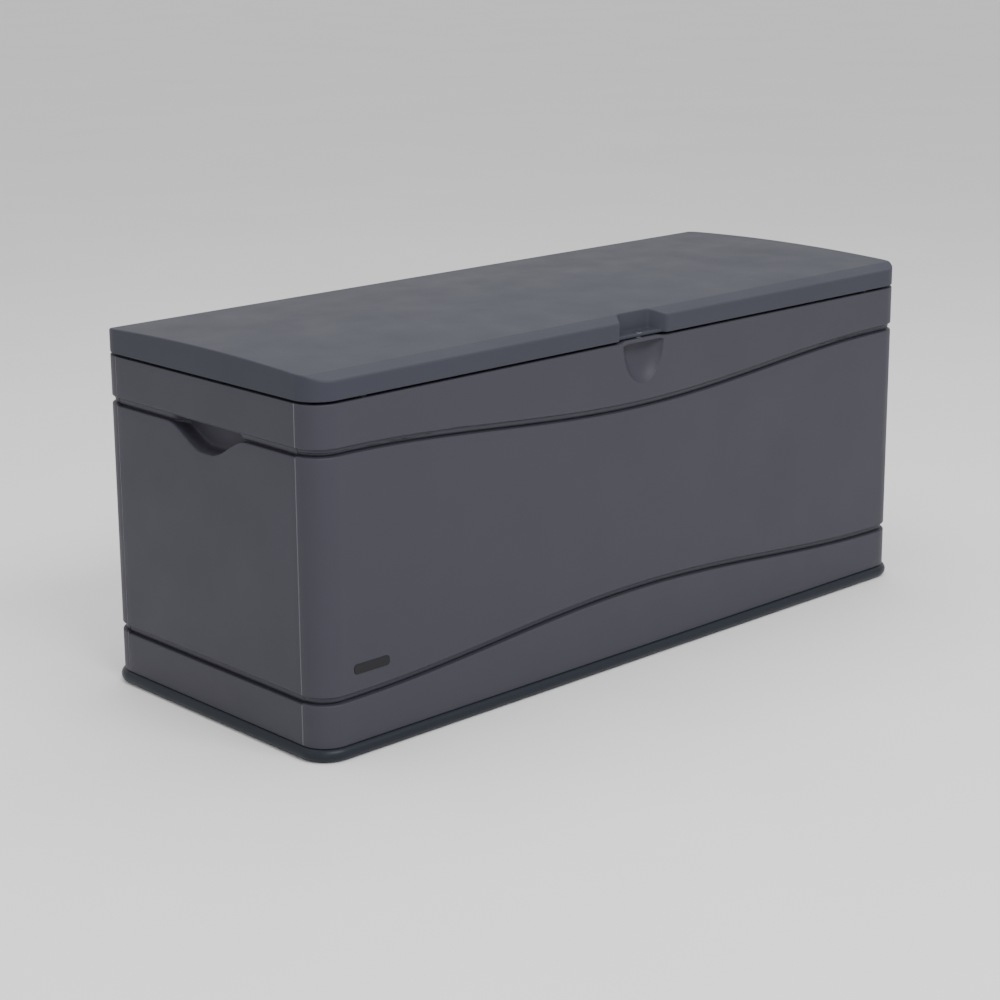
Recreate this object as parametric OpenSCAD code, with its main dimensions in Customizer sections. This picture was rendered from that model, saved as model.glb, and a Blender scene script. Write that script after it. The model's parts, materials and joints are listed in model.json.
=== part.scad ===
// Deck storage box: four moulded wall panels on a plinth, with a sprung, steel-braced lid.
// Millimetres. The origin is on the ground at the middle of the box, the front faces -Y,
// and the lid turns about the top edge of the rear wall.

/* [Overall] */
// Width over the outer wall faces
body_w = 1510; // [1210:1:1830]
// Depth over the outer wall faces
body_d = 598; // [480:1:740]
// Height of the wall tops above the ground
wall_top = 602.5; // [490:0.5:730]
// Height of the crown of the lid above its own lower edge
lid_h = 49.5; // [40:0.5:60]

/* [Walls] */
// Thickness of a double-skinned wall panel
wall_t = 26; // [24:0.5:34]
// Radius of the four upright corners
corner_r = 50; // [42:1:60]
// Thickness of each moulded skin
skin_t = 3; // [2.5:0.25:4]
// Thickness of the upright webs between the skins
web_t = 10; // [9:0.5:14]
// Number of hollow bays across the front and rear panels
wide_bays = 9; // [5:1:11]
// Number of hollow bays across each side panel
side_bays = 3; // [2:1:5]
// Joint gap between neighbouring wall panels
seam_gap = 0.6; // [0.4:0.1:1.2]

/* [Styling grooves] */
// Depth of the V grooves
groove_depth = 10.5; // [6:0.5:12]
// Height from a groove's bottom to its upper lip
groove_up = 13; // [9:0.5:16]
// Height from a groove's bottom to its lower lip
groove_down = 4; // [3:0.5:8]
// Depth of the upper groove's bottom below the wall tops, at the corners
upper_groove_drop = 85; // [72:0.5:102]
// Height of the lower groove's bottom above the ground, at the corners
lower_groove_z = 99.5; // [80:0.5:120]
// Rise of each bowed groove between the corners and the middle of a wide panel
groove_bow = 37.5; // [15:0.5:50]

/* [Base] */
// Height of the plinth that the walls stand on
plinth_h = 24; // [20:0.5:30]
// How far the rounded plinth stands out past the walls
plinth_out = 7; // [4:0.5:9]
// Height of the raised floor above the plinth
deck_h = 16; // [10:0.5:24]
// Number of ribbed cells under the floor, side to side
floor_cells_x = 10; // [6:1:14]
// Number of ribbed cells under the floor, front to back
floor_cells_y = 4; // [2:1:6]

/* [Hand grips] */
// Half the width of a side grip's mouth
grip_half_w = 112; // [80:1:130]
// Height of a side grip's pocket
grip_h = 50; // [40:1:60]
// Depth of a side grip's pocket
grip_depth = 31; // [24:1:37]
// Forward shift of the side grips from the middle of the wall
grip_shift = 7; // [0:1:12]
// Half the width of the finger scoop in the front panel
scoop_half_w = 50; // [40:1:58]
// Height of the finger scoop's mouth
scoop_h = 77; // [65:1:90]
// Depth of the finger scoop
scoop_depth = 21; // [16:0.5:21]
// Thickness of the locking flange over the scoop
flange_t = 5.5; // [4:0.5:8]
// How far the flange rises past the wall tops
flange_rise = 2.6; // [2:0.1:3]

/* [Lid] */
// Gap between the wall tops and the lid
lid_gap = 5; // [4.5:0.1:7]
// Rise of the crown between the front and rear edges
crown_rise = 9; // [4:0.5:12]
// Radius of the front and rear top edges
lid_edge_r = 3; // [1.5:0.25:5]
// Depth of the bevel along the front and rear edges
bevel_d = 30; // [20:1:40]
// Drop of the bevel's outer edge below the ends of the crown
bevel_drop = 8; // [4:0.5:12]
// Thickness of the liner's rim
rim_t = 6; // [5:0.5:8]
// Height of the hollow under the liner
liner_rise = 19.5; // [18:0.5:22]
// Half the width of the notch over the scoop, at the front
notch_half_w = 62; // [54:1:68]
// How much further in each side of the notch is at its rear
notch_flare = 22; // [12:1:26]
// Depth of the notch from the front face
notch_depth = 30; // [27:0.5:34]

/* [Lock] */
// Radius of the padlock hole
lock_r = 5; // [3.5:0.25:5.5]
// Distance of the padlock hole behind the front face
lock_inset = 15; // [13:0.5:17]

/* [Hinges] */
// Distance of the outer hinges from the middle
hinge_x = 480; // [300:1:560]
// Length of a hinge
hinge_len = 100; // [90:1:130]
// Length of each knuckle
knuckle_len = 14; // [10:0.5:16]
// Outer radius of the knuckles
knuckle_r = 6.5; // [6:0.1:6.9]
// Radius of the hinge pin
pin_r = 3; // [2.5:0.1:3.3]
// Thickness of the hinge leaves
leaf_t = 2; // [1.5:0.1:2.5]
// Radius of the spring wire
wire_r = 1.2; // [0.8:0.1:1.3]

/* [Lid braces] */
// Distance of each brace from the middle of the lid
brace_y = 130; // [90:1:170]
// Width of a brace's channel
brace_w = 36; // [28:1:44]
// Height of a brace's channel
brace_h = 15; // [12:0.5:17]
// Thickness of the brace's steel
brace_t = 1.5; // [1:0.1:2]

/* [Hidden] */
$fn = 96;
eps = 0.5;

// Clearances
running = 0.05;   // hinge pin in its bush
slip = 0.4;       // tongue in its groove
turning = 1.1;    // round the knuckles, where the lid turns
apart = 0.4;      // between pieces of the box and the lid that never touch

half_w = body_w / 2;
half_d = body_d / 2;
inner_x = half_w - wall_t;
inner_y = half_d - wall_t;
seam_y = half_d - corner_r;
deck_top = plinth_h + deck_h;
upper_groove_z = wall_top - upper_groove_drop;
lid_bottom = wall_top + lid_gap;
lid_top = lid_bottom + lid_h;

// Corner straps, with two columns of screws
strap_w = (corner_r - wall_t) * 5 / 3;
strap_t = 2;
strap_low = deck_top + 40;
strap_high = wall_top - 60;
strap_step = (strap_high - strap_low - strap_w) / 3;

// Bays between the skins: thin behind the grooves, full depth between them
bay_clear = groove_depth + skin_t;
bay_deep = wall_t - skin_t;
low_bay_high = lower_groove_z - groove_down - skin_t;
mid_bay_low = lower_groove_z + groove_bow + groove_up + skin_t;
mid_bay_high = upper_groove_z - groove_bow - groove_down - skin_t;
top_bay_low = upper_groove_z + groove_up + 2 * skin_t;
top_bay_high = wall_top - 2 * skin_t;
bay_span_x = 2 * inner_x - 2 * web_t;
bay_pitch_x = (bay_span_x + web_t) / wide_bays;
bay_span_y = 2 * seam_y - strap_w / 2 - 4 * skin_t;
bay_pitch_y = (bay_span_y + web_t) / side_bays;

// Underside of the base: flat foot round the edge, hollow ring, ribbed cells
foot_w = 14;
ring_w = 30;
rib_t = 4;
floor_t = 5;
screw_sink = 7;

// Bowed grooves are two tangent arcs on each side of the middle
bow_half = half_w - corner_r;
bow_r = (pow(bow_half, 2) + pow(groove_bow, 2)) / (4 * groove_bow);
bow_angle = 2 * atan(groove_bow / bow_half);
over_angle = 0.3;

// Tongue and groove between wall panels
tongue_t = 6;
tongue_len = 8;
tongue_u = wall_t / 2;

// Hinges
axis_y = half_d;
axis_z = wall_top + lid_gap / 2;
leaf_drop = 60;
leaf_reach = 45;
notch_r = knuckle_r + turning + 0.4;
knuckle_gap = 1;
body_knuckle_x = hinge_len / 2 - knuckle_len;
lid_knuckle_x = body_knuckle_x - knuckle_gap - knuckle_len;
spring_half = lid_knuckle_x - 2;
lid_screw_x = spring_half + 11;
bush_r = pin_r + 1.2;
pin_head_r = pin_r + 2;
pin_head_t = 1.5;
coil_r = pin_r + wire_r + 0.8;
spring_turns = 8;
hinge_places = [-hinge_x, 0, hinge_x];

// Lid
crown_r = (pow(half_d, 2) + pow(crown_rise, 2)) / (2 * crown_rise);
edge_z = lid_top - crown_rise;
bevel_y = half_d - bevel_d;
notch_fillet = 12;
dish_x = half_w - 60;
dish_y = half_d - 60;
dish_z = lid_bottom + liner_rise;
liner_t = 3;
ledge_top = lid_bottom + rim_t;
ledge_front = -half_d + 6;
shell_rib_t = 3;
shell_ribs = 7;

// Screws: radius of shank and head, height of head
floor_screw_len = plinth_h - screw_sink + 18;
floor_screw = [2.25, 5, 3];
strap_screw = [2, 4, 2.2];
strap_screw_len = 8;
hinge_screw = [2.25, 4.5, 2.2];
hinge_screw_len = 14;
brace_screw = [1.75, 3.5, 1.8];

// Lock
flange_top = wall_top + flange_rise;
scoop_roof = flange_top - flange_t;
lock_y = -half_d + lock_inset;
eyelet_r = lock_r + 1.25;
eyelet_lip_r = lock_r + 2.5;
eyelet_lip_t = 0.8;

// Blank plate
plate_w = 76;
plate_h = 17;
plate_t = 1.6;
plate_sink = 0.8;
plate_x = -half_w + 109;
plate_z = 151;

plastic = [0.30, 0.30, 0.33];
lid_plastic = [0.40, 0.40, 0.44];
black = [0.11, 0.12, 0.13];
steel = [0.66, 0.67, 0.69];
nylon = [0.85, 0.85, 0.82];

// ---- shared shapes ----

// Rounded rectangle, corners as true arcs
module plan(w, d, r) {
    square([w - 2 * r, d], center = true);
    square([w, d - 2 * r], center = true);
    for (sx = [-1, 1], sy = [-1, 1])
        translate([sx * (w / 2 - r), sy * (d / 2 - r)]) circle(r);
}

module prism(w, d, r, z0, z1) {
    translate([0, 0, z0]) linear_extrude(z1 - z0) plan(w, d, r);
}

module block(x0, x1, y0, y1, z0, z1) {
    translate([x0, y0, z0]) cube([x1 - x0, y1 - y0, z1 - z0]);
}

module along_x(x0, x1, r) {
    translate([x0, 0, 0]) rotate([0, 90, 0]) cylinder(r = r, h = x1 - x0);
}

// Screw standing on the ground plane, head below z = 0 and shank above it
module screw(size, len) {
    cylinder(r = size[0], h = len, $fn = 32);
    translate([0, 0, -size[2]]) cylinder(r = size[1], h = size[2], $fn = 32);
}

// V section of a groove, with the wall's face at x = 0 and the groove cut towards -x
module groove_section() {
    over = 1 + eps / groove_depth;
    polygon([[-groove_depth, 0], [eps, groove_up * over], [eps, -groove_down * over]]);
}

// ---- grooves on a wide panel ----

// One arc of a bowed groove on the front face, swept about an axis along Y. Its bottom passes
// through [x, z]. It sags there where side is 1, and crowns where side is -1. The angles
// count from that point, and grow to the right.
module groove_arc(x, z, side, a0, a1) {
    over = 1 + eps / groove_depth;
    translate([x, -half_d, z + side * bow_r])
        rotate([90, 0, 0])
            rotate([0, 0, side > 0 ? a0 - 90 : 90 - a1])
                rotate_extrude(angle = a1 - a0, $fn = 720)
                    polygon([
                        [bow_r, -groove_depth],
                        [bow_r - side * groove_up * over, eps],
                        [bow_r + side * groove_down * over, eps]
                    ]);
}

// Middle arcs of both bowed grooves, and the arcs that lead from a front corner to them
module middle_arcs() {
    a = bow_angle + over_angle;
    groove_arc(0, upper_groove_z - groove_bow, 1, -a, a);
    groove_arc(0, lower_groove_z + groove_bow, -1, -a, a);
}

module left_arcs() {
    groove_arc(-bow_half, upper_groove_z, -1, -over_angle, bow_angle + over_angle);
    groove_arc(-bow_half, lower_groove_z, 1, -over_angle, bow_angle + over_angle);
}

// Zone of the front wall that the middle arcs cut: its edges pass through the points where
// the arcs meet, square to the grooves
module middle_zone() {
    lean = tan(bow_angle);
    upper = upper_groove_z - groove_bow / 2;
    lower = lower_groove_z + groove_bow / 2;
    edge = [
        [bow_half / 2 - lean * lower, 0],
        [bow_half / 2 + lean * (upper - lower) / 2, (upper + lower) / 2],
        [bow_half / 2 - lean * (lid_top - upper), lid_top]
    ];
    rotate([90, 0, 0]) linear_extrude(body_d)
        polygon([for (p = edge) p, for (i = [2, 1, 0]) [-edge[i][0], edge[i][1]]]);
}

// Groove round the front left corner
module corner_groove(z) {
    translate([-half_w + corner_r, -half_d + corner_r, z])
        rotate([0, 0, 180])
            rotate_extrude(angle = 90)
                translate([corner_r, 0]) groove_section();
}

// Straight groove along a side wall's outer face at -X
module side_groove(z) {
    translate([-half_w, seam_y + eps, z])
        rotate([90, 0, 0])
            linear_extrude(2 * seam_y + 2 * eps)
                mirror([1, 0]) groove_section();
}

// ---- wall panels ----

// Hollow bay between the skins of the front panel, open at its lower edge
module wide_bay(x0, x1) {
    block(x0, x1, -half_d + bay_clear, -half_d + bay_deep, plinth_h - eps, top_bay_high);
    block(x0, x1, -half_d + skin_t, -half_d + bay_deep, plinth_h - eps, low_bay_high);
    block(x0, x1, -half_d + skin_t, -half_d + bay_deep, mid_bay_low, mid_bay_high);
    block(x0, x1, -half_d + skin_t, -half_d + bay_deep, top_bay_low, top_bay_high);
}

// Left edge of bay i in the front and rear panels
function wide_bay_x(i) = -bay_span_x / 2 + i * bay_pitch_x;
// Middle of web i
function web_x(i) = wide_bay_x(i) - web_t / 2;
function web_y(i) = -bay_span_y / 2 - web_t / 2 + i * bay_pitch_y;

// Front wall and its two returns, still solid and square
module wide_blank() {
    intersection() {
        prism(body_w, body_d, corner_r, plinth_h, wall_top);
        difference() {
            block(-half_w - eps, half_w + eps, -half_d - eps, -seam_y, 0, lid_top);
            block(-inner_x, inner_x, -inner_y, 0, 0, lid_top);
        }
    }
}

// The same with its grooves, each zone of the wall cut by its own arcs
module grooved_blank() {
    difference() {
        intersection() {
            wide_blank();
            middle_zone();
        }
        middle_arcs();
    }
    for (s = [0, 1]) mirror([s, 0, 0]) {
        difference() {
            wide_blank();
            block(-half_w - eps, -bow_half, -half_d - eps, 0, 0, lid_top);
            block(0, half_w + eps, -half_d - eps, 0, 0, lid_top);
            middle_zone();
            left_arcs();
        }
        difference() {
            wide_blank();
            block(-bow_half, half_w + eps, -half_d - eps, 0, 0, lid_top);
            corner_groove(upper_groove_z);
            corner_groove(lower_groove_z);
        }
    }
}

module wide_panel() {
    difference() {
        grooved_blank();
        for (s = [-1, 1])
            translate([s * (half_w - tongue_u), -seam_y, 0])
                block(-tongue_t / 2 - slip, tongue_t / 2 + slip, -tongue_len - slip, eps,
                      plinth_h - eps, top_bay_high + slip);
        floor_screw_holes();
        strap_holes();
    }
}

// Screws through all four corner straps, pointing outward from the inner faces of the walls
module strap_screw_places() {
    for (sx = [-1, 1], sy = [-1, 1], dy = [-strap_w / 4, strap_w / 4], i = [0 : 3])
        translate([sx * inner_x, sy * seam_y + dy, strap_low + strap_w / 2 + i * strap_step])
            rotate([0, sx * 90, 0]) children();
}

module strap_holes() {
    strap_screw_places()
        translate([0, 0, -eps]) cylinder(r = strap_screw[0], h = strap_screw_len - strap_t + eps, $fn = 32);
}

// Finger scoop, a cylinder that ends below in part of a sphere
module scoop() {
    r = (pow(scoop_half_w, 2) + pow(scoop_depth, 2)) / (2 * scoop_depth);
    translate([0, -half_d - r + scoop_depth, scoop_roof - scoop_h + scoop_half_w]) {
        cylinder(r = r, h = scoop_h - scoop_half_w, $fn = 144);
        difference() {
            sphere(r, $fn = 144);
            translate([-r, -r, 0]) cube([2 * r, 2 * r, r]);
        }
    }
}

module front_panel() color(plastic) difference() {
    union() {
        wide_panel();
        block(-scoop_half_w, scoop_half_w, -half_d, -inner_y, wall_top - skin_t, flange_top);
    }
    difference() {
        for (i = [0 : wide_bays - 1]) wide_bay(wide_bay_x(i), wide_bay_x(i + 1) - web_t);
        block(-scoop_half_w - 2 * skin_t, scoop_half_w + 2 * skin_t, -half_d, 0,
              scoop_roof - scoop_h - 2 * skin_t, wall_top);
    }
    scoop();
    translate([0, lock_y, scoop_roof - eps]) cylinder(r = eyelet_r, h = flange_t + 2 * eps);
    block(plate_x - plate_w / 2, plate_x + plate_w / 2, -half_d - eps, -half_d + plate_sink,
          plate_z - plate_h / 2, plate_z + plate_h / 2);
}

module rear_panel() color(plastic) difference() {
    mirror([0, 1, 0]) wide_panel();
    difference() {
        mirror([0, 1, 0])
            for (i = [0 : wide_bays - 1]) wide_bay(wide_bay_x(i), wide_bay_x(i + 1) - web_t);
        for (x = hinge_places)
            block(x - hinge_len / 2, x + hinge_len / 2, 0, half_d,
                  wall_top - leaf_drop - 2 * skin_t, wall_top);
    }
    for (x = hinge_places) translate([x, 0, 0]) hinge_seat();
}

// Cuts in the rear wall for one hinge: knuckle notch, rebate under the leaf, and screw holes
module hinge_seat() {
    block(-hinge_len / 2 - turning - pin_head_t, hinge_len / 2 + turning + pin_head_t,
          axis_y - notch_r, axis_y + eps, axis_z - notch_r, wall_top + eps);
    block(-hinge_len / 2, hinge_len / 2, inner_y - eps, axis_y, wall_top - leaf_t, wall_top + eps);
    hinge_body_screw_places() cylinder(r = hinge_screw[0], h = hinge_screw_len, $fn = 32);
}

// Screws through the hanging leg of a body leaf, pointing into the rear wall
module hinge_body_screw_places() {
    for (sx = [-1, 1], dz = [18, leaf_drop - 12])
        translate([sx * (hinge_len / 2 - 14), inner_y - leaf_t, wall_top - dz])
            rotate([-90, 0, 0]) children();
}

// Side view of the grip: flat in the middle and swept up to nothing at its two ends
function grip_fall(y) = let (flat = 10, a = max(0, abs(y) - flat) / (grip_half_w - flat))
    grip_h * (1 + cos(180 * min(1, a))) / 2;

module grip_outline(steps = 28) {
    polygon([
        for (i = [0 : steps]) let (y = grip_half_w * (2 * i / steps - 1)) [y, -grip_fall(y)]
    ]);
}

module left_panel() color(plastic) difference() {
    grip_top = upper_groove_z + groove_up / 2;
    union() {
        block(-half_w, -inner_x, -seam_y + seam_gap, seam_y - seam_gap, plinth_h, wall_top);
        for (s = [-1, 1])
            translate([-half_w + tongue_u, s * seam_y, 0])
                block(-tongue_t / 2, tongue_t / 2, -tongue_len, tongue_len, plinth_h, top_bay_high);
        block(-half_w + skin_t, -half_w + grip_depth + skin_t,
              -grip_shift - grip_half_w - skin_t, -grip_shift + grip_half_w + skin_t,
              grip_top - grip_h - skin_t, grip_top + skin_t);
    }
    difference() {
        for (i = [0 : side_bays - 1]) side_bay(web_y(i) + web_t / 2, web_y(i + 1) - web_t / 2);
        block(-half_w, -inner_x, -grip_shift - grip_half_w - skin_t, -grip_shift + grip_half_w + skin_t,
              grip_top - grip_h - skin_t, grip_top + skin_t);
    }
    side_groove(upper_groove_z);
    side_groove(lower_groove_z);
    translate([-half_w + grip_depth, -grip_shift, grip_top])
        rotate([90, 0, -90]) linear_extrude(grip_depth + eps) grip_outline();
    floor_screw_holes();
    strap_holes();
}

// Hollow bay between the skins of the left panel, open at its lower edge
module side_bay(y0, y1) {
    x = -half_w;
    block(x + bay_clear, x + bay_deep, y0, y1, plinth_h - eps, top_bay_high);
    block(x + skin_t, x + bay_deep, y0, y1, plinth_h - eps, low_bay_high);
    block(x + skin_t, x + bay_deep, y0, y1, lower_groove_z + groove_up + skin_t,
          upper_groove_z - groove_down - skin_t);
    block(x + skin_t, x + bay_deep, y0, y1, top_bay_low, top_bay_high);
}

module right_panel() mirror([1, 0, 0]) left_panel();

// ---- base ----

// Upright screws from below, one into each web of the walls
module floor_screw_places() {
    for (i = [1 : wide_bays - 1], s = [-1, 1])
        translate([web_x(i), s * (half_d - tongue_u), screw_sink]) children();
    for (i = [1 : side_bays - 1], s = [-1, 1])
        translate([s * (half_w - tongue_u), web_y(i), screw_sink]) children();
}

module floor_screw_holes() {
    floor_screw_places() cylinder(r = floor_screw[0], h = floor_screw_len, $fn = 32);
}

module base_tray() color(black) difference() {
    cell_x = 2 * (inner_x - ring_w) / floor_cells_x;
    cell_y = 2 * (inner_y - ring_w) / floor_cells_y;
    union() {
        prism(body_w - 10, body_d - 10, corner_r - 5, 0, plinth_h);
        plinth_round();
        block(-inner_x + slip, inner_x - slip, -inner_y + slip, inner_y - slip, plinth_h - eps, deck_top);
    }
    for (i = [0 : floor_cells_x - 1], j = [0 : floor_cells_y - 1])
        translate([-inner_x + ring_w + i * cell_x, -inner_y + ring_w + j * cell_y, -eps])
            cube([cell_x - rib_t, cell_y - rib_t, deck_top - floor_t + eps]);
    difference() {
        prism(body_w - 2 * foot_w, body_d - 2 * foot_w, corner_r - foot_w, -eps, plinth_h - floor_t);
        block(-inner_x + ring_w - rib_t, inner_x - ring_w, -inner_y + ring_w - rib_t, inner_y - ring_w,
              -2 * eps, plinth_h);
        floor_screw_places()
            translate([0, 0, -plinth_h]) cylinder(r = floor_screw[1] + slip + skin_t, h = 2 * plinth_h);
    }
    floor_screw_places() {
        translate([0, 0, -floor_screw[2] - screw_sink - eps])
            cylinder(r = floor_screw[1] + slip, h = screw_sink + floor_screw[2] + eps);
    }
    floor_screw_holes();
}

// Rounded edge all round the plinth: a round bar let into the block, mitred by its corners
module plinth_round() {
    r = plinth_h / 2;
    inset = r - plinth_out;
    cx = half_w - corner_r;
    cy = half_d - corner_r;
    translate([0, 0, r]) {
        for (s = [-1, 1]) {
            translate([-cx, s * (half_d - inset), 0]) along_x(0, 2 * cx, r);
            translate([s * (half_w - inset), cy, 0]) rotate([90, 0, 0]) cylinder(r = r, h = 2 * cy);
        }
        for (k = [0 : 3]) {
            sx = k == 0 || k == 3 ? 1 : -1;
            sy = k < 2 ? 1 : -1;
            translate([sx * cx, sy * cy, 0]) rotate([0, 0, 90 * k])
                rotate_extrude(angle = 90) translate([corner_r - inset, 0]) circle(r);
        }
    }
}

module floor_screws() color(steel) floor_screw_places() screw(floor_screw, floor_screw_len);

// ---- corner straps ----

// Flat steel strap over the joint of two panels, inside the corner at sx, sy
module strap(sx, sy) color(steel) difference() {
    x = inner_x - strap_t;
    block(min(sx * x, sx * inner_x), max(sx * x, sx * inner_x),
          sy * seam_y - strap_w / 2, sy * seam_y + strap_w / 2, strap_low, strap_high);
    strap_screw_places()
        translate([0, 0, -strap_t - eps]) cylinder(r = strap_screw[0], h = strap_t + 2 * eps, $fn = 32);
}

module strap_front_left() strap(-1, -1);
module strap_front_right() strap(1, -1);
module strap_rear_left() strap(-1, 1);
module strap_rear_right() strap(1, 1);

module strap_screws() color(steel)
    strap_screw_places() translate([0, 0, -strap_t]) screw(strap_screw, strap_screw_len);

// ---- hinges ----

// Ring of clearance round the hinge line, cut from a leaf where the other leaf's knuckles turn
module knuckle_room(x0, x1) {
    translate([0, axis_y, axis_z]) along_x(x0, x1, knuckle_r + turning);
}

module leaf_hole() {
    translate([0, 0, -eps]) cylinder(r = hinge_screw[0], h = leaf_t + 2 * eps, $fn = 32);
}

module hinge_body(x) color(steel) translate([x, 0, 0]) difference() {
    outer = hinge_len / 2;
    union() {
        block(-outer, outer, inner_y - leaf_t, axis_y - 3, wall_top - leaf_t, wall_top);
        block(-outer, outer, inner_y - leaf_t, inner_y, wall_top - leaf_drop, wall_top);
        for (s = [0, 1]) mirror([s, 0, 0])
            translate([0, axis_y, axis_z]) along_x(body_knuckle_x, outer, knuckle_r);
    }
    knuckle_room(-body_knuckle_x, body_knuckle_x);
    translate([0, axis_y, axis_z]) along_x(-outer - eps, outer + eps, pin_r);
    hinge_body_screw_places() leaf_hole();
}

module hinge_body_left() hinge_body(-hinge_x);
module hinge_body_centre() hinge_body(0);
module hinge_body_right() hinge_body(hinge_x);

module hinge_body_screws() color(steel)
    for (x = hinge_places) translate([x, 0, 0]) hinge_body_screw_places() screw(hinge_screw, hinge_screw_len);

// Lid leaf: its two knuckles stand inside the body leaf's, and hold the bushes
module hinge_lid(x) color(steel) translate([x, 0, 0]) difference() {
    outer = hinge_len / 2;
    union() {
        block(-outer, outer, axis_y - leaf_reach, axis_y - 3, lid_bottom, lid_bottom + leaf_t);
        for (s = [0, 1]) mirror([s, 0, 0])
            translate([0, axis_y, axis_z]) along_x(lid_knuckle_x, lid_knuckle_x + knuckle_len, knuckle_r);
    }
    knuckle_room(-lid_knuckle_x, lid_knuckle_x);
    for (s = [0, 1]) mirror([s, 0, 0])
        knuckle_room(lid_knuckle_x + knuckle_len, outer + eps);
    translate([0, axis_y, axis_z]) along_x(-outer, outer, bush_r);
    hinge_lid_screw_places() leaf_hole();
}

module hinge_lid_left() hinge_lid(-hinge_x);
module hinge_lid_centre() hinge_lid(0);
module hinge_lid_right() hinge_lid(hinge_x);

module hinge_lid_screw_places() {
    for (s = [-1, 1], dy = [15, leaf_reach - 10])
        translate([s * lid_screw_x, axis_y - dy, lid_bottom]) children();
}

module hinge_lid_screws() color(steel)
    for (x = hinge_places) translate([x, 0, 0]) hinge_lid_screw_places() screw(hinge_screw, rim_t + 6);

module hinge_bushes() color(nylon)
    for (x = hinge_places, s = [0, 1])
        translate([x, axis_y, axis_z]) mirror([s, 0, 0]) difference() {
            along_x(lid_knuckle_x, lid_knuckle_x + knuckle_len, bush_r);
            along_x(lid_knuckle_x - eps, lid_knuckle_x + knuckle_len + eps, pin_r + running);
        }

module hinge_pin(x) color(steel) translate([x, axis_y, axis_z]) {
    outer = hinge_len / 2;
    along_x(-outer, outer, pin_r);
    for (s = [0, 1]) mirror([s, 0, 0]) along_x(outer, outer + pin_head_t, pin_head_r);
}

module hinge_pin_left() hinge_pin(-hinge_x);
module hinge_pin_centre() hinge_pin(0);
module hinge_pin_right() hinge_pin(hinge_x);

// Tube of radius r along a list of points, as one closed mesh
module wire(points, r, sides = 6) {
    n = len(points);
    tangents = [for (i = [0 : n - 1]) unit(points[min(i + 1, n - 1)] - points[max(i - 1, 0)])];
    ring = [for (i = [0 : n - 1])
        let (u = unit(cross(tangents[i], [0.31, 0.87, 0.39])), v = cross(tangents[i], u))
        for (k = [0 : sides - 1]) points[i] + r * (cos(360 * k / sides) * u + sin(360 * k / sides) * v)];
    polyhedron(ring, concat(
        [for (k = [1 : sides - 2]) [0, k, k + 1]],
        [for (i = [0 : n - 2], k = [0 : sides - 1], f = [0, 1])
            let (a = i * sides + k, b = i * sides + (k + 1) % sides)
            f == 0 ? [a, a + sides, b] : [b, a + sides, b + sides]],
        [for (k = [1 : sides - 2]) let (a = (n - 1) * sides) [a, a + k + 1, a + k]]
    ), convexity = 10);
}

function unit(v) = v / norm(v);

// Torsion spring round the pin: one leg lies on the wall top, the other under the lid
module hinge_spring(x) color(steel) translate([x, axis_y, axis_z]) {
    steps = 12 * spring_turns;
    leg = inner_y - axis_y + 4;
    wire(concat(
        [[-spring_half, leg, -lid_gap / 2 + wire_r + 0.1]],
        [for (i = [0 : steps]) let (a = 180 + 360 * spring_turns * i / steps)
            [-spring_half + 2 * spring_half * i / steps, coil_r * cos(a), coil_r * sin(a)]],
        [[spring_half, leg, lid_gap / 2 - wire_r - apart]]
    ), wire_r);
}

module hinge_spring_left() hinge_spring(-hinge_x);
module hinge_spring_right() hinge_spring(hinge_x);

// ---- lock and plate ----

// Steel eyelet with its lip on top, standing in a hole from z = -depth to 0
module eyelet(depth) difference() {
    union() {
        translate([0, 0, -depth]) cylinder(r = eyelet_r, h = depth);
        cylinder(r = eyelet_lip_r, h = eyelet_lip_t);
    }
    translate([0, 0, -depth - eps]) cylinder(r = lock_r, h = depth + eyelet_lip_t + 2 * eps);
}

module lock_eyelet_body() color(steel) translate([0, lock_y, flange_top]) eyelet(flange_t);
module lock_eyelet_lid() color(steel) translate([0, lock_y, ledge_top]) eyelet(rim_t);

module label_plate() color(black)
    translate([plate_x, -half_d + plate_sink, plate_z])
        rotate([90, 0, 0]) linear_extrude(plate_t) plan(plate_w, plate_h, 6);

// ---- lid ----

// Height of the crown line at a distance y from the middle
function crown_z(y) = lid_top - crown_r + sqrt(pow(crown_r, 2) - pow(y, 2));

// Section of the lid from front to back: crowned above, bevelled and rounded along both edges
module lid_section(inset = 0) {
    y = half_d - inset;
    z = edge_z - bevel_drop - inset;
    slope = atan((crown_z(bevel_y) - inset - z) / (y - bevel_y));
    centre = z - lid_edge_r * (1 - sin(slope)) / cos(slope);
    front = [for (i = [0 : 4]) let (a = (90 - slope) * i / 4)
        [y - lid_edge_r * (1 - cos(a)), centre + lid_edge_r * sin(a)]];
    crown = [for (i = [0 : 20]) let (t = bevel_y * (1 - i / 10)) [t, crown_z(t) - inset]];
    rear = [for (i = [4 : -1 : 0]) [-front[i][0], front[i][1]]];
    polygon(concat([[y, lid_bottom]], front, crown, rear, [[-y, lid_bottom]]));
}

module lid_solid(inset = 0) {
    intersection() {
        prism(body_w - 2 * inset, body_d - 2 * inset, corner_r - inset, lid_bottom, lid_top + eps);
        translate([-half_w - eps, 0, 0]) rotate([90, 0, 90])
            linear_extrude(body_w + 2 * eps) lid_section(inset);
    }
}

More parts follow.
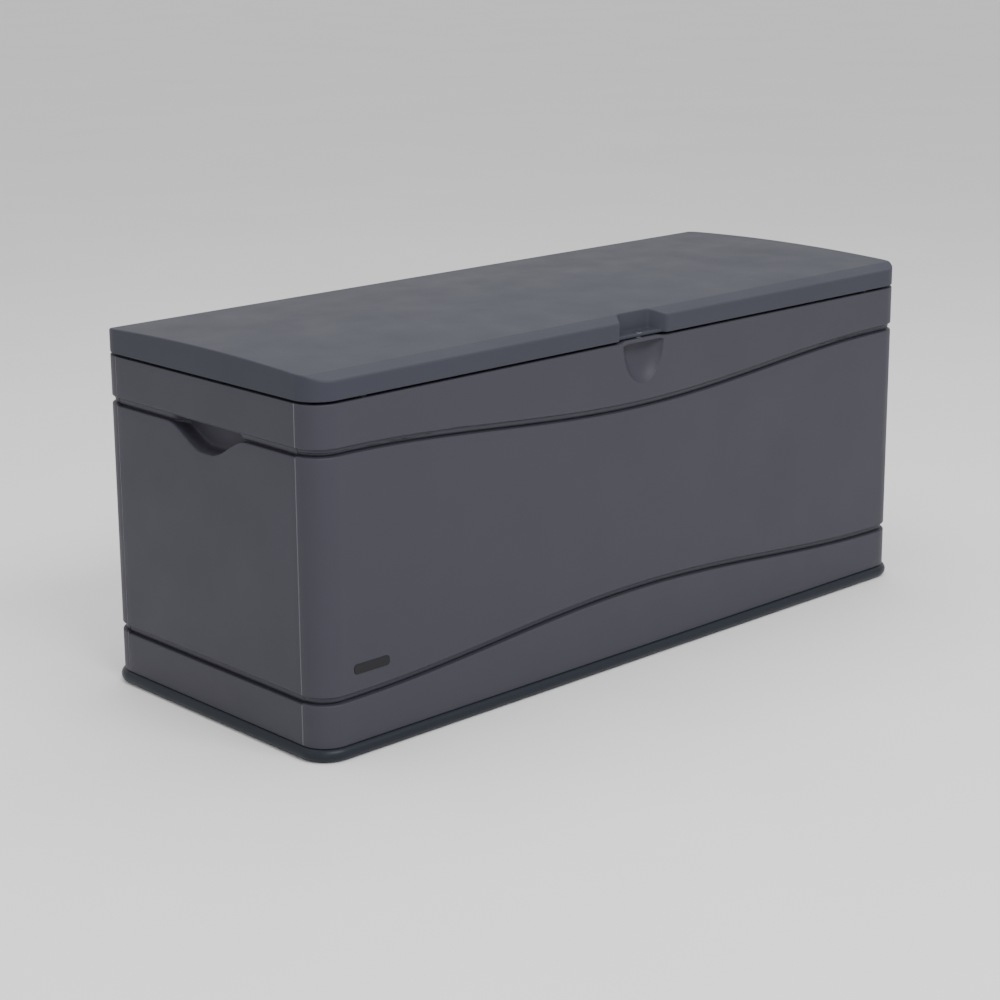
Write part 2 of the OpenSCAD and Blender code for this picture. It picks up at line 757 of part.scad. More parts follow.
// Plan of the lid's notch, its front edge along y = 0: flared sides and rounded rear corners,
// all of them moved out by grow
module notch_plan(grow = 0) {
    flare = atan(notch_flare / notch_depth);
    front = notch_half_w + grow / cos(flare);
    centre_y = notch_depth - notch_fillet;
    centre_x = notch_half_w - (notch_fillet + centre_y * sin(flare)) / cos(flare);
    right = [for (i = [0 : 6]) let (a = flare + (90 - flare) * i / 6)
        [centre_x + (notch_fillet + grow) * cos(a), centre_y + (notch_fillet + grow) * sin(a)]];
    left = [for (i = [6 : -1 : 0]) [-right[i][0], right[i][1]]];
    polygon(concat([[front, -eps]], right, left, [[-front, -eps]]));
}

// Block round the notch, and the notch itself over its ledge
module notch_block() {
    translate([0, -half_d, lid_bottom]) linear_extrude(lid_h) notch_plan(skin_t);
}

module notch() {
    translate([0, -half_d, ledge_top]) linear_extrude(lid_h) notch_plan();
    intersection() {
        translate([0, -half_d, lid_bottom - eps]) linear_extrude(lid_h) notch_plan();
        block(-notch_half_w - eps, notch_half_w + eps, -half_d - 2 * eps, ledge_front,
              lid_bottom - 2 * eps, lid_top);
    }
    translate([0, lock_y, lid_bottom - eps]) cylinder(r = eyelet_r, h = rim_t + 2 * eps);
}

// Room in the lid for the knuckles of all hinges
module knuckle_notches() {
    for (x = hinge_places)
        translate([x, 0, 0])
            block(-hinge_len / 2 - turning - pin_head_t, hinge_len / 2 + turning + pin_head_t,
                  axis_y - notch_r, axis_y + eps, lid_bottom - eps, axis_z + notch_r);
}

module lid_shell() color(lid_plastic) difference() {
    rib_step = 2 * dish_x / (shell_ribs + 1);
    union() {
        difference() {
            lid_solid();
            intersection() {
                translate([0, 0, -eps]) lid_solid(skin_t);
                prism(body_w, body_d, corner_r, lid_bottom - eps, lid_top);
            }
            block(-inner_x, inner_x, -inner_y, inner_y, lid_bottom - eps, lid_bottom + eps);
        }
        intersection() {
            lid_solid(skin_t / 2);
            for (i = [1 : shell_ribs])
                translate([-dish_x + i * rib_step, 0, 0])
                    block(-shell_rib_t / 2, shell_rib_t / 2, -dish_y, dish_y, dish_z + liner_t, lid_top);
        }
        intersection() {
            lid_solid();
            notch_block();
        }
    }
    notch();
    knuckle_notches();
}

module lid_liner() color(plastic) difference() {
    union() {
        prism(body_w - 2 * skin_t, body_d - 2 * skin_t, corner_r - skin_t, lid_bottom, lid_bottom + rim_t);
        block(-dish_x - liner_t, dish_x + liner_t, -dish_y - liner_t, dish_y + liner_t,
              lid_bottom, dish_z + liner_t);
        for (x = hinge_places)
            translate([x, 0, 0]) hinge_lid_screw_places() cylinder(r = 5.5, h = rim_t + 8);
    }
    block(-dish_x, dish_x, -dish_y, dish_y, lid_bottom - eps, dish_z);
    notch_block();
    knuckle_notches();
    for (x = hinge_places) translate([x, 0, 0]) {
        block(-hinge_len / 2, hinge_len / 2, axis_y - leaf_reach, axis_y,
              lid_bottom - eps, lid_bottom + leaf_t);
        hinge_lid_screw_places() cylinder(r = hinge_screw[0], h = rim_t + 6, $fn = 32);
    }
    brace_screw_places() cylinder(r = brace_screw[0], h = liner_t + eps, $fn = 32);
}

// Steel top-hat channel under the liner, along X at y = 0
module brace() {
    x = dish_x - 6;
    flange = 12;
    z0 = dish_z - brace_h;
    w = brace_w / 2;
    block(-x, x, -w, w, z0, z0 + brace_t);
    for (s = [0, 1]) mirror([0, s, 0]) {
        block(-x, x, w - brace_t, w, z0, dish_z);
        block(-x, x, w - brace_t, w + flange, dish_z - brace_t, dish_z);
    }
}

module brace_screw_places() {
    for (sy = [-1, 1], dy = [-1, 1], i = [-3 : 3])
        translate([i * (dish_x - 40) / 3, sy * brace_y + dy * (brace_w / 2 + 6), dish_z]) children();
}

module braced(sy) color(steel) difference() {
    translate([0, sy * brace_y, 0]) brace();
    brace_screw_places()
        translate([0, 0, -brace_t - eps]) cylinder(r = brace_screw[0], h = brace_t + 2 * eps, $fn = 32);
}

module lid_brace_front() braced(-1);
module lid_brace_rear() braced(1);

module brace_screws() color(steel)
    brace_screw_places() translate([0, 0, -brace_t]) screw(brace_screw, brace_t + liner_t);

// Soft pads that carry the closed lid on the wall tops
module lid_bumpers() color(black)
    for (sx = [-1, 1], sy = [-1, 1])
        translate([sx * (half_w - corner_r - 60), sy * (half_d - wall_t / 2), wall_top + apart])
            cylinder(r = 7, h = lid_gap - apart);

base_tray();
front_panel();
rear_panel();
left_panel();
right_panel();
strap_front_left();
strap_front_right();
strap_rear_left();
strap_rear_right();
strap_screws();
floor_screws();
hinge_body_left();
hinge_body_centre();
hinge_body_right();
hinge_pin_left();
hinge_pin_centre();
hinge_pin_right();
hinge_spring_left();
hinge_spring_right();
hinge_body_screws();
lock_eyelet_body();
label_plate();
lid_shell();
lid_liner();
lid_brace_front();
lid_brace_rear();
brace_screws();
hinge_lid_left();
hinge_lid_centre();
hinge_lid_right();
hinge_bushes();
hinge_lid_screws();
lock_eyelet_lid();
lid_bumpers();
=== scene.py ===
"""Deck storage box: smooth moulded skins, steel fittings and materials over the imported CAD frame."""

import json
import math

import bmesh
import bpy
import numpy as np
from mathutils import Matrix, Vector

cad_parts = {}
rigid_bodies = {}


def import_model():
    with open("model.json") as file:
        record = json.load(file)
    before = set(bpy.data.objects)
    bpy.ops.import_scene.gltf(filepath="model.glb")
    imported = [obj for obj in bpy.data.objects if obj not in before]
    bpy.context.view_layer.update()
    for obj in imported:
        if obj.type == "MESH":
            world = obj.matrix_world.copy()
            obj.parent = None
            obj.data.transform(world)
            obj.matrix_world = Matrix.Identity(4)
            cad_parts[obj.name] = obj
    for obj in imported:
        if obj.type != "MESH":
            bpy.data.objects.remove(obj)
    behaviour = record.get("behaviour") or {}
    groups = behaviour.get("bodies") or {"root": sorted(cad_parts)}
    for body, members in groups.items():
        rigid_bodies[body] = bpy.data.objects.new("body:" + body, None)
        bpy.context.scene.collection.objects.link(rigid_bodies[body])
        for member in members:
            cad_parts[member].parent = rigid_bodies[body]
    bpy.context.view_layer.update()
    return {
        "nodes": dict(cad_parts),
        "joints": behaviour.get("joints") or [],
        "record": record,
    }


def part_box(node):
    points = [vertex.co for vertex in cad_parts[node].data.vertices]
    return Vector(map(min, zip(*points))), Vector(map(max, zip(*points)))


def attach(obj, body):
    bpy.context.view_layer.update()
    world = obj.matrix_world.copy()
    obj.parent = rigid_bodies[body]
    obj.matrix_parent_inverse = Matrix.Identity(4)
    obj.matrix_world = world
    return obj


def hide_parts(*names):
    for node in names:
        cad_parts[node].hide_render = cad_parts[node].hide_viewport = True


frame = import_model()
nodes = frame["nodes"]

MM = 0.001

# ---- places taken from the frame ----

side_low, side_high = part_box("left_panel")
front_low, front_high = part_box("front_panel")
lid_low, lid_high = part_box("lid_shell")
base_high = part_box("base_tray")[1]

half_w = -side_low.x
half_d = -front_low.y
plinth_top = side_low.z
wall_top = side_high.z
deck_top = base_high.z
plinth_out = base_high.x - half_w
lid_bottom = lid_low.z
lid_top = lid_high.z
hinge = frame["joints"][0]
hinge_y = hinge["pos_m"][1]
hinge_z = hinge["pos_m"][2]

# ---- sizes of the moulded shapes, in metres ----

corner_r = half_d - abs(front_high.y)
wall_t = 26 * MM
skin_t = 3 * MM
seam_gap = 0.6 * MM
edge_r = 1.6 * MM

groove_depth = 10.5 * MM
upper_groove_z = wall_top - 85.5 * MM
lower_groove_z = plinth_top + 75.5 * MM
groove_bow = 37.5 * MM
groove_reach = 20 * MM
inner_row = 60 * MM

grip_half_w = 112 * MM
grip_flat = 10 * MM
grip_h = 39 * MM
grip_depth = 31 * MM
grip_shift = 7 * MM
grip_fade = 9 * MM
grip_roof_top = 9.6
grip_roof_run = 4.6

scoop_half_w = 52 * MM
scoop_h = 77 * MM
scoop_depth = 21 * MM
flange_t = 5.5 * MM
flange_rise = front_high.z - wall_top
flange_slope = 18 * MM
flange_margin = 4 * MM
scoop_margin = 2 * MM

crown_rise = 9 * MM
lid_edge_r = 3.2 * MM
bevel_d = 30 * MM
bevel_drop = 8.5 * MM
notch_half_w = 62 * MM
notch_flare = 22 * MM
notch_depth = 30 * MM
notch_inner_r = 12 * MM
notch_outer_r = 9 * MM
eyelet_y = -half_d + 15 * MM
eyelet_r = 6.25 * MM
notch_edge_r = 2.2 * MM
ledge_t = 6 * MM
ledge_inset = 8 * MM

foot_inset = 14 * MM
foot_t = 5 * MM
floor_play = 0.4 * MM


# ---- mesh helpers ----

def new_object(name, verts, faces, smooth_angle=38):
    """A mesh object from vertices and faces, shaded smooth except over sharp edges."""
    mesh = bpy.data.meshes.new(name)
    mesh.from_pydata([tuple(v) for v in verts], [], [tuple(f) for f in faces])
    bm = bmesh.new()
    bm.from_mesh(mesh)
    bmesh.ops.remove_doubles(bm, verts=bm.verts, dist=2e-6)
    bmesh.ops.dissolve_degenerate(bm, dist=1e-6, edges=bm.edges)
    bmesh.ops.recalc_face_normals(bm, faces=bm.faces)
    bm.to_mesh(mesh)
    bm.free()
    obj = bpy.data.objects.new(name, mesh)
    bpy.context.scene.collection.objects.link(obj)
    shade(obj, smooth_angle)
    return obj


def shade(obj, smooth_angle=38):
    """Smooth shading, with sharp edges where faces meet at more than the angle."""
    mesh = obj.data
    mesh.polygons.foreach_set("use_smooth", [True] * len(mesh.polygons))
    mesh.set_sharp_from_angle(angle=math.radians(smooth_angle))
    mesh.update()


def grid_faces(columns, rows, wrap=False, first=0):
    """Quads over a grid of vertices stored column by column."""
    faces = []
    row_steps = rows if wrap else rows - 1
    for c in range(columns - 1):
        for r in range(row_steps):
            a = first + c * rows + r
            b = first + c * rows + (r + 1) % rows
            faces.append((a, b, b + rows, a + rows))
    return faces


def sweep(name, sections, caps=True, smooth_angle=38):
    """A solid from closed sections, one after another, capped at its two ends."""
    columns = len(sections)
    rows = len(sections[0])
    verts = [p for section in sections for p in section]
    faces = grid_faces(columns, rows, wrap=True)
    if caps:
        faces.append(tuple(range(rows)))
        faces.append(tuple(reversed(range((columns - 1) * rows, columns * rows))))
    return new_object(name, verts, faces, smooth_angle)


def spread(*stops):
    """Sorted values from (start, end, count) runs, without repeats."""
    values = []
    for start, end, count in stops:
        values.extend(np.linspace(start, end, count))
    values = sorted(values)
    kept = [values[0]]
    for v in values[1:]:
        if v - kept[-1] > 1e-6:
            kept.append(v)
    return kept


def apply_modifiers(obj):
    """Replaces the object's mesh by what its modifiers make of it."""
    bpy.context.view_layer.update()
    deps = bpy.context.evaluated_depsgraph_get()
    mesh = bpy.data.meshes.new_from_object(obj.evaluated_get(deps))
    obj.modifiers.clear()
    obj.data = mesh


def cut(obj, cutter, solver="EXACT"):
    """Subtracts the cutter from the object and removes the cutter."""
    mod = obj.modifiers.new("cut", "BOOLEAN")
    mod.operation = "DIFFERENCE"
    mod.solver = solver
    mod.object = cutter
    apply_modifiers(obj)
    bpy.data.objects.remove(cutter)


def round_in(d, r):
    """Depth of a quarter round of radius r, at a distance d in from the edge."""
    if d >= r:
        return 0.0
    d = max(d, 0.0)
    return r - math.sqrt(max(r * r - (r - d) ** 2, 0.0))


# ---- wall panels ----

def bow(x):
    """How far a bowed groove has moved at x: 0 by the corners, 1 at the middle."""
    run = half_w - corner_r
    t = min(abs(x), run) / run
    return 0.5 + 0.5 * math.cos(math.pi * t)


# Section of a groove, from its lower lip to its upper one, in millimetres: height above the
# bottom and depth. Below is a flat ledge, above an upright flank under a small step.
GROOVE_SECTION = [(-3.2, 0), (-2.4, 0.15), (-1.7, 0.6), (-1.2, 1.4), (-0.9, 2.8), (-0.7, 5), (-0.5, 8),
                  (-0.3, 10), (0, 10.5), (0.7, 10.4), (1.3, 9.3), (2, 7.7), (3, 6.4), (4.5, 5.6),
                  (7, 5), (9.6, 4.5), (11, 3.9), (11.8, 2.8), (12.4, 1.4), (12.9, 0.5), (13.5, 0.1),
                  (14.2, 0)]
# The side grooves are a little taller than the front ones, and a little lower
SIDE_STRETCH = 1.15
side_drop = 2 * MM


def groove_profile(dz):
    """Depth of a groove at a height dz above its bottom."""
    heights = [h * MM for h, d in GROOVE_SECTION]
    depths = [d * MM for h, d in GROOVE_SECTION]
    return float(np.interp(dz, heights, depths))


def groove_rows(z):
    """Heights of a groove's rows, its bottom being at z."""
    return [z + h * MM for h, d in GROOVE_SECTION]


def smooth(t):
    """Eases from 0 to 1 as t goes from 0 to 1, level at both ends."""
    t = min(1.0, max(0.0, t))
    return t * t * (3 - 2 * t)


def panel_top(x, has_scoop):
    """Height of a wide panel's top at x: it arches up over the scoop."""
    if not has_scoop:
        return wall_top
    return wall_top + flange_rise * smooth((scoop_half_w + flange_margin - abs(x)) / flange_slope)


def scoop_cut(x, z):
    """Depth of the finger scoop in the front face."""
    roof = panel_top(x, True) - flange_t
    if z > roof or abs(x) >= scoop_half_w:
        return 0.0
    r2 = (x / scoop_half_w) ** 2 + ((z - roof) / scoop_h) ** 2
    if r2 >= 1:
        return 0.0
    return scoop_depth * (1 - r2 ** 1.7) ** 0.85


def wide_rows(x, top):
    """Heights of the outer rows of a wide panel at x, the same number at every x."""
    low = lower_groove_z + groove_bow * bow(x)
    high = upper_groove_z - groove_bow * bow(x)
    rows = [plinth_top, plinth_top + 0.3 * MM, plinth_top + 0.9 * MM, plinth_top + edge_r]
    start = rows[-1]
    lows = groove_rows(low)
    rows += list(np.linspace(start, lows[0], 6)[1:-1]) + lows
    highs = groove_rows(high)
    rows += list(np.linspace(lows[-1], highs[0], 26)[1:-1]) + highs
    roof = top - flange_t
    foot = roof - scoop_h - scoop_margin
    rows += list(np.linspace(highs[-1], foot, 5)[1:])
    rows += list(np.linspace(foot, roof - 1.5 * MM, 54)[1:])
    rows += [roof - 0.6 * MM, roof - 0.1 * MM, roof, roof + 0.15 * MM, roof + 0.6 * MM, roof + 1.4 * MM]
    rows += [top - edge_r, top - 0.9 * MM, top - 0.3 * MM, top]
    return rows


def wide_depth(x, z, has_scoop, top):
    """How far in the surface of a wide panel is at x, z: grooves, scoop and rounded edges."""
    low = lower_groove_z + groove_bow * bow(x)
    high = upper_groove_z - groove_bow * bow(x)
    depth = 0.0
    if abs(z - low) < groove_reach:
        depth = groove_profile(z - low)
    if abs(z - high) < groove_reach:
        depth = groove_profile(z - high)
    if has_scoop and z > high + groove_reach / 2:
        depth = max(depth, scoop_cut(x, z))
    depth += round_in(top - z, edge_r) + round_in(z - plinth_top, edge_r)
    return depth


def wide_path():
    """Outer path of the front panel in plan: (point, outward normal, matching inner point)."""
    stations = []
    run = half_w - corner_r
    inner_x = half_w - wall_t
    inner_y = half_d - wall_t
    arc_steps = [0, 0.6, 1.2, 2.2] + list(np.linspace(5, 90, 18))
    for a in arc_steps:
        t = math.radians(a)
        normal = Vector((-math.cos(t), -math.sin(t), 0))
        outer = Vector((-run, -half_d + corner_r, 0)) + normal * corner_r
        along = a / 90 * (2 * (corner_r - wall_t))
        if along < corner_r - wall_t:
            inner = Vector((-inner_x, -half_d + corner_r - along, 0))
        else:
            inner = Vector((-inner_x + along - (corner_r - wall_t), -inner_y, 0))
        stations.append((outer, normal, inner))
    wide = scoop_half_w + flange_margin
    xs = spread((-run, -wide, 66), (-wide, wide, 91), (wide, run, 66))
    for x in xs[1:]:
        stations.append((Vector((x, -half_d, 0)), Vector((0, -1, 0)), Vector((x, -inner_y, 0))))
    for outer, normal, inner in reversed(stations[:len(arc_steps) - 1]):
        stations.append(tuple(Vector((-v.x, v.y, 0)) for v in (outer, normal, inner)))
    return stations


def wide_panel(name, has_scoop, rear):
    """Front or rear panel: its own wall, both corners, and a flat inner face."""
    sections = []
    path = wide_path()
    seam_y = -half_d + corner_r
    for outer, normal, inner in path:
        x = outer.x
        section = []
        seam_round = round_in(seam_y - outer.y, edge_r) if abs(x) > half_w - edge_r else 0.0
        top = panel_top(x, has_scoop)
        for z in wide_rows(x, top):
            d = wide_depth(x, z, has_scoop, top) + seam_round
            p = outer - normal * d
            section.append((p.x, min(p.y, seam_y - seam_gap / 2), z))
        top_in = inner - (inner - outer).normalized() * edge_r
        section.append((top_in.x, min(top_in.y, seam_y - seam_gap / 2), top))
        for z in (top - edge_r, wall_top - inner_row, plinth_top + inner_row, plinth_top):
            section.append((inner.x, min(inner.y, seam_y - seam_gap / 2), z))
        if rear:
            section = [(px, -py, pz) for px, py, pz in section]
        sections.append(section)
    return sweep(name, sections)


def grip_fall(y):
    """How far the grip's lower edge falls below its mouth at y, measured from the grip's middle."""
    a = max(0.0, abs(y) - grip_flat) / (grip_half_w - grip_flat)
    return grip_h * (0.5 + 0.5 * math.cos(math.pi * min(1.0, a)))


# Up the grip's pocket: share of the way down to its lower lip, and share of the pocket's depth
GRIP_PROFILE = [(0.0, 1.0), (0.25, 1.0), (0.45, 1.0), (0.6, 0.995), (0.7, 0.985), (0.78, 0.96), (0.84, 0.91),
                (0.885, 0.82), (0.92, 0.68), (0.95, 0.48), (0.97, 0.3), (0.985, 0.14), (1.0, 0.0)]


def side_section(y, x_out, x_in):
    """Closed section of a side panel at y, with the groove and, near the middle, the grip."""
    g = y + grip_shift
    fall = grip_fall(g) if abs(g) < grip_half_w else 0.0
    # 0 at the ends of the pocket, 1 over most of it
    inside = smooth(fall / grip_fade)
    pocket = groove_depth + (grip_depth - groove_depth) * inside
    low = [(lower_groove_z - side_drop + h * SIDE_STRETCH * MM, d * MM) for h, d in GROOVE_SECTION]
    high = upper_groove_z - side_drop
    rows = [(plinth_top, edge_r), (plinth_top + 0.3 * MM, round_in(0.3 * MM, edge_r)),
            (plinth_top + 0.9 * MM, round_in(0.9 * MM, edge_r)), (plinth_top + edge_r, 0.0)]
    rows += [(z, 0.0) for z in np.linspace(rows[-1][0], low[0][0], 5)[1:-1]] + low
    # lower lip of the groove, carried down by the pocket
    lip = [(high + h * SIDE_STRETCH * MM - fall, d * MM) for h, d in GROOVE_SECTION if h <= -0.7]
    rows += [(z, 0.0) for z in np.linspace(low[-1][0], lip[0][0], 16)[1:-1]] + lip
    lip_z, lip_depth = rows[-1]
    for share, deep in reversed(GRIP_PROFILE[:-1]):
        rows.append((high + (lip_z - high) * share, lip_depth + (pocket - lip_depth) * deep))
    # roof of the pocket, nearly level where the grip is
    for h, d in GROOVE_SECTION:
        if h > 0:
            roof = d * MM + (pocket - d * MM) * smooth((grip_roof_top - h) / grip_roof_run)
            rows.append((high + h * SIDE_STRETCH * MM, d * MM * (1 - inside) + roof * inside))
    rows += [(z, 0.0) for z in np.linspace(rows[-1][0], wall_top - edge_r, 8)[1:-1]]
    rows += [(wall_top - edge_r, 0.0), (wall_top - 0.9 * MM, round_in(0.9 * MM, edge_r)),
             (wall_top - 0.3 * MM, round_in(0.3 * MM, edge_r)), (wall_top, edge_r)]
    seam = half_d - corner_r - seam_gap / 2
    seam_round = round_in(seam - abs(y), edge_r)
    section = [(x_out + d + seam_round, y, z) for z, d in rows]
    bulge = max(0.0, pocket + skin_t - wall_t) * inside
    section.append((x_in - edge_r, y, wall_top))
    for z in (wall_top - edge_r, high + 22 * MM, high + 10 * MM):
        section.append((x_in, y, z))
    for z in (high + 4 * MM, high - fall):
        section.append((x_in + bulge, y, z))
    for z in (high - fall - 16 * MM, plinth_top + inner_row, plinth_top):
        section.append((x_in, y, z))
    return section


def side_panel(name, mirrored):
    """Left panel, or the right one when mirrored: straight grooves and the grip."""
    seam = half_d - corner_r - seam_gap / 2
    reach = grip_half_w + 2 * MM
    ys = spread((-seam, -seam + edge_r, 4), (-seam + edge_r, -grip_shift - reach, 10),
                (-grip_shift - reach, -grip_shift + reach, 110),
                (-grip_shift + reach, seam - edge_r, 12), (seam - edge_r, seam, 4))
    sections = [side_section(y, -half_w, -half_w + wall_t) for y in ys]
    if mirrored:
        sections = [[(-x, y, z) for x, y, z in s] for s in sections]
    return sweep(name, sections)


# ---- lid ----

def outline_inset(x, y):
    """Distance in from the lid's rounded outline."""
    qx = abs(x) - (half_w - corner_r)
    qy = abs(y) - (half_d - corner_r)
    if qx > 0 and qy > 0:
        return corner_r - math.hypot(qx, qy)
    return corner_r - max(qx, qy)


def crown(y):
    """Height of the lid's crown at y: an arc from front to rear, bevelled along both edges."""
    r = (half_d ** 2 + crown_rise ** 2) / (2 * crown_rise)
    t = max(0.0, 1 - (half_d - abs(y)) / bevel_d)
    return lid_top - r + math.sqrt(r * r - y * y) - bevel_drop * t * t / (t + 0.035)


def notch_line(a):
    """How far back the lid's front face is at a distance a from the middle, through the notch."""
    flare = math.atan2(notch_flare, notch_depth)
    inner_y = notch_depth - notch_inner_r
    inner_x = notch_half_w - (notch_inner_r + inner_y * math.sin(flare)) / math.cos(flare)
    outer_x = notch_half_w + notch_outer_r * (1 - math.sin(flare)) / math.cos(flare)
    if a <= inner_x:
        return notch_depth
    if a <= inner_x + notch_inner_r * math.cos(flare):
        return inner_y + math.sqrt(notch_inner_r ** 2 - (a - inner_x) ** 2)
    if a <= outer_x - notch_outer_r * math.cos(flare):
        return (notch_half_w - a) * notch_depth / notch_flare
    if a < outer_x:
        return notch_outer_r - math.sqrt(notch_outer_r ** 2 - (outer_x - a) ** 2)
    return 0.0


def front_line(x):
    """y of the lid's front face at x, with the notch and the rounded corners."""
    t = abs(x) - (half_w - corner_r)
    if t > 0:
        return -half_d + corner_r - math.sqrt(max(corner_r ** 2 - t * t, 0))
    return -half_d + notch_line(abs(x))


def lid_surface(x, y, front):
    """Height of the lid's top at x, y, rounded down to its edges."""
    z = crown(y) - round_in(outline_inset(x, y), lid_edge_r)
    if front > -half_d and abs(x) < notch_half_w + notch_outer_r and y < 0:
        z -= round_in(y - front, notch_edge_r)
    return z


def edge_rows(front):
    """Rows of the lid's top next to its front edge, the last of them behind the bevel's crease."""
    near = [front + k * MM for k in (0, 0.12, 0.35, 0.7, 1.2, 1.8, 2.5, 3.2, 4.2)]
    crease = max(near[-1] + 1 * MM, -half_d + bevel_d - 2 * MM)
    near += list(np.linspace(near[-1], crease, 6)[1:])
    return near + [crease + k * MM for k in (1, 2, 3, 4.5, 8)]


def lid_section(x, front):
    """Open section of the lid at x: up the front, over the crown and down the rear."""
    rear = half_d
    if abs(x) > half_w - corner_r:
        rear = -front
    ledge_y = -half_d + ledge_inset
    ledge_z = lid_bottom + ledge_t
    points = []
    skirt = [0, 0.4, 1.2]
    if abs(x) > notch_half_w + notch_outer_r:
        ledge_y = front
    base = min(front, ledge_y)
    for k in skirt:
        points.append((x, base + round_in(k * MM, 1.2 * MM), lid_bottom + k * MM))
    # front edge and top of the ledge in the notch
    for down, back in ((1.8, 0.0), (0.8, 0.3), (0.2, 0.9), (0.0, 2.0)):
        points.append((x, min(front, ledge_y + back * MM), ledge_z - down * MM))
    for back, rise in ((2.0, 0.0), (0.6, 0.3), (0.0, 1.5)):
        points.append((x, max(base, front - back * MM), ledge_z + rise * MM + 0.02 * MM))
    start = points[-1][2]
    top = lid_surface(x, front, front)
    for t in np.linspace(0, 1, 7)[1:-1]:
        points.append((x, front, start + (top - start) * t))
    front_rows = edge_rows(front)
    rear_rows = [-y for y in reversed(edge_rows(-rear))]
    middle = list(np.linspace(front_rows[-1], rear_rows[0], 36)[1:-1])
    for y in front_rows + middle + rear_rows:
        points.append((x, y, lid_surface(x, y, front)))
    bottom = lid_surface(x, rear, front)
    for t in np.linspace(0, 1, 9)[1:-1]:
        points.append((x, rear, bottom + (lid_bottom + 1.2 * MM - bottom) * t))
    for k in reversed(skirt):
        points.append((x, rear - round_in(k * MM, 1.2 * MM), lid_bottom + k * MM))
    return points


def lid_shell():
    """The lid's outer skin: one open sheet, thickened inwards, with the lock's hole in its ledge."""
    run = half_w - corner_r
    ends = [run + corner_r * math.sin(math.radians(a))
            for a in (0, 6, 12, 18, 24, 30, 36, 42, 48, 54, 60, 65, 70, 74, 78, 81, 84, 86.5, 88.5, 90)]
    notch = list(np.linspace(0, notch_half_w + notch_outer_r, 72))
    straight = list(np.linspace(notch[-1], run, 48)[1:])
    half = [(x, front_line(x)) for x in notch + straight + ends[1:]]
    columns = [(-x, f) for x, f in reversed(half[1:])] + half
    sections = [lid_section(x, f) for x, f in columns]
    rows = len(sections[0])
    verts = [p for s in sections for p in s]
    faces = grid_faces(len(sections), rows)
    faces.append(tuple(range(rows)))
    faces.append(tuple(reversed(range(len(verts) - rows, len(verts)))))
    skin = new_object("lid_skin", verts, faces)
    up = max(skin.data.polygons, key=lambda f: f.center.z)
    mod = skin.modifiers.new("skin", "SOLIDIFY")
    mod.thickness = skin_t
    mod.offset = -1 if up.normal.z > 0 else 1
    apply_modifiers(skin)
    cut(skin, lock_hole(lid_bottom - 1 * MM, lid_bottom + 12 * MM), "FAST")
    shade(skin)
    return skin


def lock_hole(low, high):
    """Round cutter for the padlock's eyelets, from one height to another."""
    ring = [(eyelet_r * math.cos(t), eyelet_y + eyelet_r * math.sin(t))
            for t in np.linspace(0, 2 * math.pi, 49)[:-1]]
    return sweep("lock_hole", [[(x, y, z) for x, y in ring] for z in (low, high)])


# ---- base ----

def ring_path(inset, count=14):
    """Points round the rounded rectangle of the walls, moved in by inset."""
    points = []
    r = max(corner_r - inset, 0.5 * MM)
    cx = half_w - inset - r
    cy = half_d - inset - r
    for k in range(4):
        centre = ((1, 1), (-1, 1), (-1, -1), (1, -1))[k]
        for i in range(count + 1):
            a = math.radians(90 * k + 90 * i / count)
            points.append((centre[0] * cx + r * math.cos(a), centre[1] * cy + r * math.sin(a)))
    return points


def base_profile():
    """Half section of the base: (inset from the wall faces, height), from the foot to the deck."""
    r = plinth_top / 2
    centre = r - plinth_out
    profile = [(foot_inset, 0.0)]
    for a in np.linspace(-90, 90, 25):
        t = math.radians(a)
        profile.append((centre - r * math.cos(t), r + r * math.sin(t)))
    floor_edge = wall_t + floor_play
    profile.append((floor_edge, plinth_top))
    profile.append((floor_edge, deck_top - 2 * MM))
    profile.append((floor_edge + 0.5 * MM, deck_top - 0.6 * MM))
    profile.append((floor_edge + 1.8 * MM, deck_top))
    return profile


def base_tray():
    """Plinth and floor in one, with a flat recess under the floor."""
    profile = base_profile()
    rings = [[(x, y, z) for x, y in ring_path(inset)] for inset, z in profile]
    columns = len(rings)
    rows = len(rings[0])
    verts = [p for ring in rings for p in ring]
    faces = grid_faces(columns, rows, wrap=True)
    faces.append(tuple(range((columns - 1) * rows, columns * rows)))
    # inside of the foot, up to the floor, and the floor's underside
    first = len(verts)
    verts += [(x, y, plinth_top - foot_t) for x, y in ring_path(foot_inset)]
    for r in range(rows):
        faces.append((r, (r + 1) % rows, first + (r + 1) % rows, first + r))
    faces.append(tuple(reversed(range(first, first + rows))))
    return new_object("base_moulding", verts, faces)


# ---- hinge springs ----

def spring(name, cad_node):
    """Round wire: a leg on the wall top, the coil round the pin, and a leg under the lid."""
    low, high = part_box(cad_node)
    wire_r = 1.2 * MM
    coil_r = high.z - hinge_z - wire_r
    x0, x1 = low.x + wire_r, high.x - wire_r
    turns = 8
    steps = 28 * turns
    leg_y = low.y + wire_r
    points = [Vector((x0, leg_y, wall_top + wire_r + 0.1 * MM))]
    for i in range(steps + 1):
        a = math.pi + 2 * math.pi * turns * i / steps
        x = x0 + (x1 - x0) * i / steps
        points.append(Vector((x, hinge_y + coil_r * math.cos(a), hinge_z + coil_r * math.sin(a))))
    points.append(Vector((x1, leg_y, lid_bottom - wire_r - 0.4 * MM)))
    return tube(name, points, wire_r, 12)


